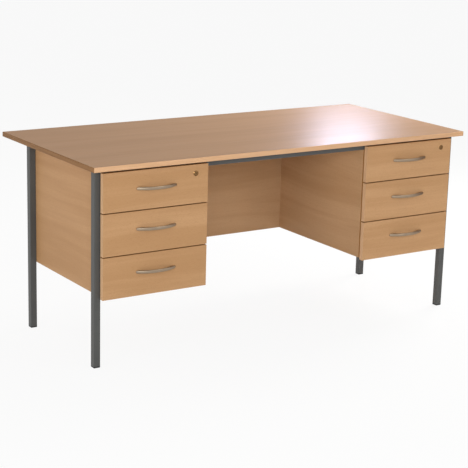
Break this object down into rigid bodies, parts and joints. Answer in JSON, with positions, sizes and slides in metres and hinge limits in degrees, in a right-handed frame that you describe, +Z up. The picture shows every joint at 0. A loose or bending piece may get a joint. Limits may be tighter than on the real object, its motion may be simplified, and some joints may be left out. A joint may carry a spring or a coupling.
{
  "type": "pedestal desk",
  "caption": "Office desk with a beech-effect worktop on square steel legs, a bank of locking drawers hung at each end, bow handles and a modesty panel behind the knee space.",
  "frame": {"origin": "on the floor, under the middle of the worktop", "axes": "+X along the length to the sitter's right, +Y from the drawer side to the back, +Z up"},
  "size_m": [1.65, 0.755, 0.73],
  "materials": {
    "worktop": "satin beech-effect laminate",
    "edging": "beech-coloured edging",
    "panel": "satin beech-effect laminate",
    "frame": "graphite powder coat",
    "foot": "moulded black",
    "runner": "moulded dark grey",
    "drawer_box": "grey foil on board",
    "drawer_floor": "grey-faced hardboard",
    "handle": "satin nickel",
    "lock": "dark bronze plating",
    "screw": "zinc plated"
  },
  "bodies": {
    "desk": {"top_board": "worktop", "top_edging": "edging", "left_outer_side": "panel", "left_inner_side": "panel", "right_inner_side": "panel", "right_outer_side": "panel", "left_pedestal_base": "panel", "right_pedestal_base": "panel", "modesty_panel": "panel", "front_left_leg": "frame", "front_right_leg": "frame", "rear_left_leg": "frame", "rear_right_leg": "frame", "front_rail": "frame", "rear_rail": "frame", "leg_feet": "foot", "left_runners": "runner", "right_runners": "runner", "fixing_blocks": "runner", "top_screws": "screw", "leg_bolts": "screw", "panel_screws": "screw"},
    "left_upper_drawer": {"left_upper_drawer_front": "panel", "left_upper_drawer_box": "drawer_box", "left_upper_drawer_floor": "drawer_floor", "left_upper_drawer_handle": "handle", "left_upper_drawer_handle_screws": "screw", "left_lock_case": "lock", "left_lock_nut": "screw"},
    "left_middle_drawer": {"left_middle_drawer_front": "panel", "left_middle_drawer_box": "drawer_box", "left_middle_drawer_floor": "drawer_floor", "left_middle_drawer_handle": "handle", "left_middle_drawer_handle_screws": "screw"},
    "left_lower_drawer": {"left_lower_drawer_front": "panel", "left_lower_drawer_box": "drawer_box", "left_lower_drawer_floor": "drawer_floor", "left_lower_drawer_handle": "handle", "left_lower_drawer_handle_screws": "screw"},
    "left_lock": {"left_lock_plug": "lock", "left_lock_cam": "screw"},
    "right_upper_drawer": {"right_upper_drawer_front": "panel", "right_upper_drawer_box": "drawer_box", "right_upper_drawer_floor": "drawer_floor", "right_upper_drawer_handle": "handle", "right_upper_drawer_handle_screws": "screw", "right_lock_case": "lock", "right_lock_nut": "screw"},
    "right_middle_drawer": {"right_middle_drawer_front": "panel", "right_middle_drawer_box": "drawer_box", "right_middle_drawer_floor": "drawer_floor", "right_middle_drawer_handle": "handle", "right_middle_drawer_handle_screws": "screw"},
    "right_lower_drawer": {"right_lower_drawer_front": "panel", "right_lower_drawer_box": "drawer_box", "right_lower_drawer_floor": "drawer_floor", "right_lower_drawer_handle": "handle", "right_lower_drawer_handle_screws": "screw"},
    "right_lock": {"right_lock_plug": "lock", "right_lock_cam": "screw"}
  },
  "joints": [
    {"name": "left_upper_drawer_slide", "type": "slide", "parent": "desk", "child": "left_upper_drawer", "axis": [0, -1, 0], "range_m": [0, 0.36]},
    {"name": "left_middle_drawer_slide", "type": "slide", "parent": "desk", "child": "left_middle_drawer", "axis": [0, -1, 0], "range_m": [0, 0.36]},
    {"name": "left_lower_drawer_slide", "type": "slide", "parent": "desk", "child": "left_lower_drawer", "axis": [0, -1, 0], "range_m": [0, 0.36]},
    {"name": "left_lock_turn", "type": "hinge", "parent": "left_upper_drawer", "child": "left_lock", "pos_m": [-0.41, -0.322, 0.67], "axis": [0, 1, 0], "range_deg": [0, 90]},
    {"name": "right_upper_drawer_slide", "type": "slide", "parent": "desk", "child": "right_upper_drawer", "axis": [0, -1, 0], "range_m": [0, 0.36]},
    {"name": "right_middle_drawer_slide", "type": "slide", "parent": "desk", "child": "right_middle_drawer", "axis": [0, -1, 0], "range_m": [0, 0.36]},
    {"name": "right_lower_drawer_slide", "type": "slide", "parent": "desk", "child": "right_lower_drawer", "axis": [0, -1, 0], "range_m": [0, 0.36]},
    {"name": "right_lock_turn", "type": "hinge", "parent": "right_upper_drawer", "child": "right_lock", "pos_m": [0.727, -0.322, 0.67], "axis": [0, 1, 0], "range_deg": [0, 90]}
  ]
}
